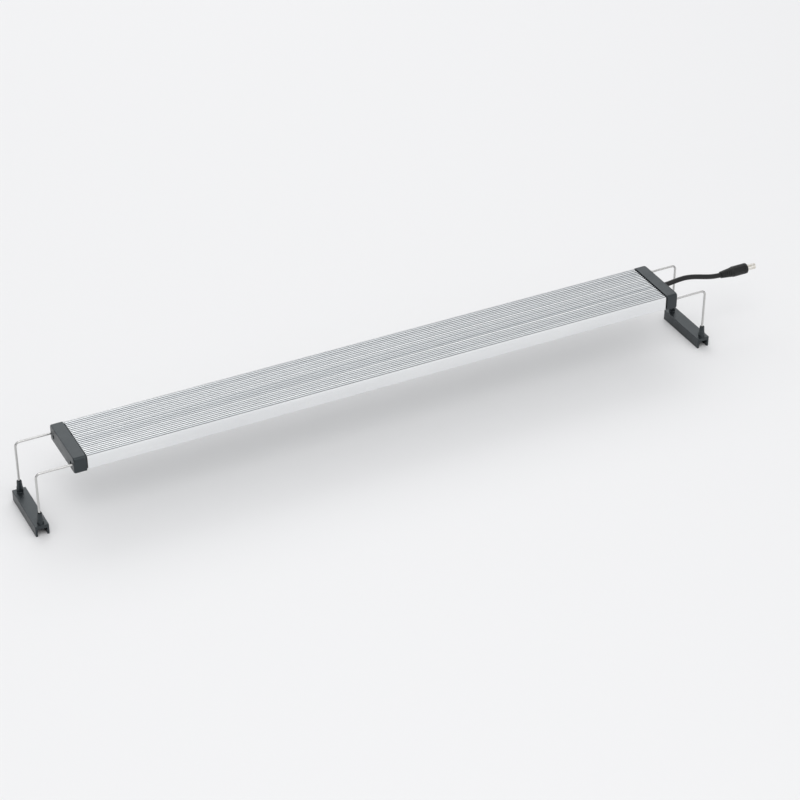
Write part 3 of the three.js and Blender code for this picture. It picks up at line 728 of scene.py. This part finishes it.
def clip_pin_rings(x, y, top):
    """From the clip's top face up the outside of a pin, over its rim and down its bore."""
    pin_top = clip_high.z
    foot_radius, tip_radius = 2.85 * MM, 2.15 * MM
    fillet, rim_round = 0.35 * MM, 0.35 * MM
    collar_top = top + 4.6 * MM
    collar_ledge, collar_bevel = 0.3 * MM, 0.12 * MM
    tip_length, tip_taper = 1.2 * MM, 0.1 * MM
    mouth_depth, mouth_flare, mouth_lip = 0.5 * MM, 0.25 * MM, 0.01 * MM
    profile = [(foot_radius + size, top + step) for step, size in edge_round(fillet)]
    profile += [
        (foot_radius, collar_top - collar_ledge),
        (foot_radius - collar_bevel, collar_top),
        (foot_radius - collar_ledge, collar_top),
        (tip_radius + tip_taper, pin_top - tip_length),
    ]
    profile += [(tip_radius - size, pin_top - step) for step, size in reversed(edge_round(rim_round))]
    profile += [
        (BORE_RADIUS + mouth_flare, pin_top - mouth_lip),
        (BORE_RADIUS, pin_top - mouth_depth),
        (BORE_RADIUS, pin_top - PIN_BORE_DEPTH),
    ]
    return [across_z(circle((x, y), radius), z) for radius, z in profile]


def make_clip(node):
    """An upside-down channel with rounded edges, and two bored pins grown out of its top."""
    edge = 0.4 * MM
    slot_half = 4.1 * MM
    slot_round = 0.3 * MM
    low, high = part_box(node)
    centre = (low.x + high.x) / 2
    half = (high.x - low.x) / 2
    top = high.z - PIN_HEIGHT
    section = rounded([
        (centre - half, low.z, edge),
        (centre - slot_half, low.z, edge),
        (centre - slot_half, SLOT_TOP, slot_round),
        (centre + slot_half, SLOT_TOP, slot_round),
        (centre + slot_half, low.z, edge),
        (centre + half, low.z, edge),
        (centre + half, top, edge),
        (centre - half, top, edge),
    ], 5)
    bm = bmesh.new()
    steps = edge_round(edge * 0.8)
    rings = [across_y(inset(section, size), low.y + step) for step, size in steps]
    rings += [across_y(inset(section, size), high.y - step) for step, size in reversed(steps)]
    first, last = loft(bm, rings)
    cover(bm, [first], -Y)
    cover(bm, [last], Y)
    at_top = {vert for vert in bm.verts if abs(vert.co.z - top) < SAME_PLACE}
    top_face = next(face for face in bm.faces if at_top.issuperset(face.verts))
    loops = [list(top_face.verts)]
    bmesh.ops.delete(bm, geom=[top_face], context="FACES_ONLY")
    for side in (-1, 1):
        foot, bore_floor = loft(bm, clip_pin_rings(centre, side * ROD_Y, top))
        bm.faces.new(bore_floor)
        loops.append(foot)
    cover(bm, loops, Z)
    fine_piece(bm, node)


def bezier(start, handle, other_handle, stop, steps):
    """Points along a cubic curve, without its start."""
    points = []
    for i in range(1, steps + 1):
        t = i / steps
        s = 1 - t
        points.append(start * s**3 + handle * 3 * s * s * t + other_handle * 3 * s * t * t + stop * t**3)
    return points


def make_cable():
    """Straight out of the cap, up over a low crest, then drooping level into the plug."""
    radius = CABLE_RADIUS
    straight_out, crest_out, crest_forward = 3 * MM, 24 * MM, 0.5 * MM
    level_length = 10 * MM
    rise_handle = X * 8 * MM
    droop_handle = X * 14 * MM
    end_chamfer = 0.1 * MM
    start = Vector((cable_low.x, 0, ROD_Z))
    outside = Vector((cap_high.x + straight_out, 0, ROD_Z))
    crest = Vector((cap_high.x + crest_out, -crest_forward, cable_high.z - radius))
    end = Vector((cable_high.x, cable_low.y + radius, cable_low.z + radius))
    level = end - X * level_length
    path = [start, outside]
    path += bezier(outside, outside + rise_handle, crest - rise_handle, crest, 14)
    path += bezier(crest, crest + droop_handle, level - droop_handle, level, 28)
    path.append(end)
    bm = bmesh.new()
    sweep(bm, path, radius, 24, end_chamfer)
    fine_piece(bm, "cable")


def make_grommet():
    """A flanged silicone sleeve that lines the cable hole."""
    low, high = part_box("cable_grommet")
    gap = 0.15 * MM
    inner = CABLE_RADIUS + gap
    flange = (high.y - low.y) / 2
    flange_end = low.x + 1.2 * MM
    neck = CABLE_HOLE_RADIUS - gap
    edge = 0.2 * MM
    profile = [
        (low.x, inner),
        (low.x, flange),
        (flange_end, flange),
        (flange_end, neck),
        (high.x - edge, neck),
        (high.x, neck - edge),
        (high.x, inner + edge),
        (high.x - edge, inner),
        (low.x, inner),
    ]
    bm = bmesh.new()
    turned(bm, profile, about_x(0, ROD_Z))
    fine_piece(bm, "cable_grommet")


def make_screw(node, side, mirrored):
    """A pan-head screw with a hexagon socket."""
    head_radius = 1.9 * MM
    head_height = 1.8 * MM
    point_radius, point_length = 0.1 * MM, 1.0 * MM
    socket_flat = 0.78 * MM
    socket_mouth = 1.2 * socket_flat
    socket_bevel, socket_depth = 0.15 * MM, 1.0 * MM
    edge = 0.5 * MM
    point, top = screw_low.x, screw_high.x
    seat = top - head_height
    profile = [
        (point, point_radius),
        (point + point_length, SCREW_RADIUS),
        (seat, SCREW_RADIUS),
        (seat, head_radius),
    ]
    profile += [(top - step, head_radius - size) for step, size in reversed(edge_round(edge, 5))]
    profile += [
        (top, socket_mouth),
        (top - socket_bevel, socket_flat),
        (top - socket_depth, socket_flat),
    ]

    def hexagonal(advance, radius, angle):
        if radius != socket_flat:
            return radius
        sixth = math.pi / 3
        return radius / math.cos((angle % sixth) - sixth / 2)

    bm = bmesh.new()
    turned(bm, profile, about_x(side * SCREW_Y, SCREW_Z), sides=36, shape=hexagonal)
    fine_piece(bm, node, mirrored)


def plug_profile(start, stop, radius, fluted_part):
    """The plug body's section as (x, radius) pairs: relief rings, shoulder, grip, groove, nose and bore.
    fluted_part is where the grip starts and where the groove round it ends."""
    bore = CABLE_RADIUS + 0.2 * MM
    relief_radius = CABLE_RADIUS + 0.9 * MM
    edge = 0.2 * MM
    ring_count = 5
    first_ring, ring_pitch = 1 * MM, 1.9 * MM
    ring_lift, ring_growth, ring_slope = 0.05 * MM, 0.22 * MM, 0.14
    ring_shape = ((0, 0), (0.25 * MM, 0.35 * MM), (0.65 * MM, 0.35 * MM), (0.9 * MM, 0))
    profile = [(start, bore), (start, relief_radius - edge), (start + edge, relief_radius)]
    for ring in range(ring_count):
        near = start + first_ring + ring * ring_pitch
        thick = relief_radius + ring_lift + ring * ring_growth
        profile += [(near + step, thick + step * ring_slope - depth) for step, depth in ring_shape]
    shoulder, shoulder_radius = start + 11.5 * MM, 4.5 * MM
    shoulder_round, shoulder_drop = 0.6 * MM, 0.12 * MM
    grip_start, groove_stop = fluted_part
    groove_start = groove_stop - 0.8 * MM
    groove_depth, groove_edge = 0.3 * MM, 0.2 * MM
    nose_start, nose_stop, nose_drop = stop - 0.7 * MM, stop - 0.2 * MM, 0.3 * MM
    profile += [
        (shoulder, shoulder_radius),
        (grip_start - shoulder_round, radius - shoulder_drop),
        (grip_start, radius),
        (groove_start, radius),
        (groove_start + groove_edge, radius - groove_depth),
        (groove_stop - groove_edge, radius - groove_depth),
        (groove_stop, radius),
        (nose_start, radius),
        (nose_stop, radius - nose_drop),
    ]
    mouth_radius, mouth_depth = 2.9 * MM, 5 * MM
    mouth_round = 0.7 * MM
    pin_bore = 0.6 * MM
    cable_stop = start + 9.3 * MM
    profile += [
        (stop, radius - mouth_round),
        (stop, mouth_radius),
        (stop - mouth_depth, mouth_radius),
        (stop - mouth_depth, pin_bore),
        (cable_stop, pin_bore),
        (cable_stop, bore),
        (start, bore),
    ]
    return profile


def make_plug_body():
    """The plug's moulded grip, with a ringed strain relief behind it and lengthwise flutes."""
    radius = (plug_high.z - plug_low.z) / 2
    flute_count, flute_depth = 14, 0.22 * MM
    fluted_part = (plug_low.x + 13 * MM, plug_high.x - 3.2 * MM)

    def fluted(advance, size, angle):
        if size != radius or not fluted_part[0] <= advance <= fluted_part[1]:
            return size
        return size - flute_depth * max(0.0, math.cos(flute_count * angle)) ** 2

    bm = bmesh.new()
    profile = plug_profile(plug_low.x, plug_high.x, radius, fluted_part)
    turned(bm, profile, about_x(PLUG_Y, PLUG_Z), sides=84, shape=fluted)
    fine_piece(bm, "plug_body")


def make_plug_sleeve(node, wall):
    """A round sleeve that stands in the plug's mouth, its outer end rounded off."""
    low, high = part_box(node)
    outer = (high.z - low.z) / 2
    inner = outer - wall
    edge = 0.15 * MM
    profile = [
        (low.x, inner),
        (low.x, outer),
        (high.x - edge, outer),
        (high.x, outer - edge),
        (high.x, inner + edge / 2),
        (high.x - edge / 2, inner),
        (low.x, inner),
    ]
    bm = bmesh.new()
    turned(bm, profile, about_x(PLUG_Y, PLUG_Z))
    fine_piece(bm, node)


make_housing()
make_end_cap("right_end_cap", mirrored=False, cable_hole=True)
make_end_cap("left_end_cap", mirrored=True, cable_hole=False)
for end in ("left", "right"):
    turned_round = end == "left"
    make_clip(f"{end}_clip")
    for place in ("rear", "front"):
        make_rod(f"{end}_{place}_rod")
        # A screw made at the right end's front lands at the left end's rear when it is turned round.
        side = 1 if (place == "rear") != turned_round else -1
        make_screw(f"{end}_{place}_screw", side, turned_round)
make_cable()
make_grommet()
make_plug_body()
make_plug_sleeve("plug_barrel", wall=0.4 * MM)
make_plug_sleeve("plug_insulator", wall=1.1 * MM)

# ---------------------------------------------------------------- CAD nodes that stay

for name, node in frame["nodes"].items():
    if not node.hide_render:
        node.data.materials.clear()
        node.data.materials.append(MATERIALS[slot_of[name]])

# ---------------------------------------------------------------- floor, light and camera

AZIMUTH, ELEVATION = math.radians(-26.0), math.radians(33.1)  # the camera's, as a product shot's
CAMERA_SIDE = Vector((math.sin(AZIMUTH), -math.cos(AZIMUTH), 0))
STUDIO_WHITE = (0.985, 0.99, 1.0)
BACKDROP_LEVEL = 0.86


def make_floor():
    """A plain pale round table top that the clips stand on. Its far parts take on the backdrop's tone."""
    radius, even_radius, fade_radius = 3.0, 1.2, 2.4
    bm = bmesh.new()
    bmesh.ops.create_circle(bm, cap_ends=True, segments=128, radius=radius)
    mesh = bpy.data.meshes.new("floor")
    bm.to_mesh(mesh)
    bm.free()
    made = bpy.data.objects.new("floor", mesh)
    made.location.z = cad_low.z
    pale = (0.84, 0.84, 0.845)
    surface = Surface("floor_white", pale, 0.75)
    far = surface.ramp(surface.dot(surface.where, surface.where), even_radius**2, fade_radius**2)
    surface.set("Base Color", surface.mix(far, pale, (0, 0, 0)))
    surface.set("Specular IOR Level", surface.ramp(far, 0, 1, 0.5, 0.0))
    surface.set("Emission Color", (*STUDIO_WHITE, 1))
    surface.set("Emission Strength", surface.ramp(far, 0, 1, 0.0, BACKDROP_LEVEL))
    mesh.materials.append(surface.material)
    bpy.context.scene.collection.objects.link(made)
    made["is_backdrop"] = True


def make_softbox(name, place, size, radiance):
    """A rectangular area light that faces the middle of the bar."""
    data = bpy.data.lights.new(name, "AREA")
    data.shape = "RECTANGLE"
    data.size, data.size_y = size
    data.energy = radiance * math.pi * size[0] * size[1]
    made = bpy.data.objects.new(name, data)
    made.location = place
    made.rotation_euler = Vector(place).to_track_quat("Z", "Y").to_euler()
    bpy.context.scene.collection.objects.link(made)


def make_world():
    """A white tent that is brightest overhead and dims towards the horizon, most of all behind the camera,
    with a reflector to the camera's right. The camera itself sees a backdrop that goes on from the floor."""
    reflector_side = Vector((0.37, -0.93, 0.05)).normalized()
    world = bpy.data.worlds.new("studio")
    made = Nodes(world)
    direction = made.node("ShaderNodeTexCoord").outputs["Generated"]
    height = made.dot(direction, Z)
    tent = made.ramp(height, 0.0, 0.45, 0.28, 0.78)
    dimmed = made.math("MULTIPLY", tent, made.ramp(made.dot(direction, CAMERA_SIDE), 0.7, 0.97, 1.0, 0.5))
    reflector = made.ramp(made.dot(direction, reflector_side), 0.82, 0.96, 0.0, 0.7)
    backdrop = made.ramp(height, 0.0, 0.3, BACKDROP_LEVEL, 0.88)
    seen = made.node("ShaderNodeLightPath").outputs["Is Camera Ray"]
    light = made.math("ADD", dimmed, reflector)
    radiance = made.node("ShaderNodeMix", {"Factor": seen, 2: light, 3: backdrop}).outputs[0]
    background = made.tree.nodes["Background"]
    made.plug(background.inputs["Color"], (*STUDIO_WHITE, 1))
    made.plug(background.inputs["Strength"], radiance)
    bpy.context.scene.world = world


def make_camera():
    """A long lens at the viewing angle of a product shot, with the whole object in the frame."""
    bar_lengths_away = 3.56
    left_room, right_room = 0.015, 0.055  # shares of the picture's width; the light can stretch to the right
    back = CAMERA_SIDE * math.cos(ELEVATION) + Z * math.sin(ELEVATION)
    bar_length = 2 * cap_high.x
    data = bpy.data.cameras.new("camera")
    made = bpy.data.objects.new("camera", data)
    made.location = back * bar_lengths_away * bar_length
    made.rotation_mode = "QUATERNION"
    made.rotation_quaternion = back.to_track_quat("Z", "Y")
    bpy.context.scene.collection.objects.link(made)
    bpy.context.scene.camera = made
    points = [vert.co.copy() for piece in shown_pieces() for vert in piece.data.vertices]
    for _ in range(3):  # each new aim shifts the perspective a little, so it is found in a few rounds
        bpy.context.view_layer.update()
        to_camera = made.matrix_world.inverted()
        seen = [to_camera @ point for point in points]
        across = [-point.x / point.z for point in seen]
        upwards = [-point.y / point.z for point in seen]
        width = (max(across) - min(across)) / (1 - left_room - right_room)
        aim = Vector((min(across) + width * (0.5 - left_room), (min(upwards) + max(upwards)) / 2, -1))
        made.rotation_quaternion = (made.matrix_world.to_3x3() @ aim).to_track_quat("-Z", "Y")
    data.sensor_width = 36
    data.lens = data.sensor_width / width
    data.clip_start, data.clip_end = 0.05, 100


make_floor()
make_softbox("key", place=(0.55, 1.9, 1.75), size=(2.4, 1.5), radiance=1.2)
make_softbox("fill", place=(-0.5, -1.3, 2.3), size=(1.8, 1.8), radiance=2.0)
make_world()
make_camera()
bpy.context.scene.view_settings.view_transform = "Standard"
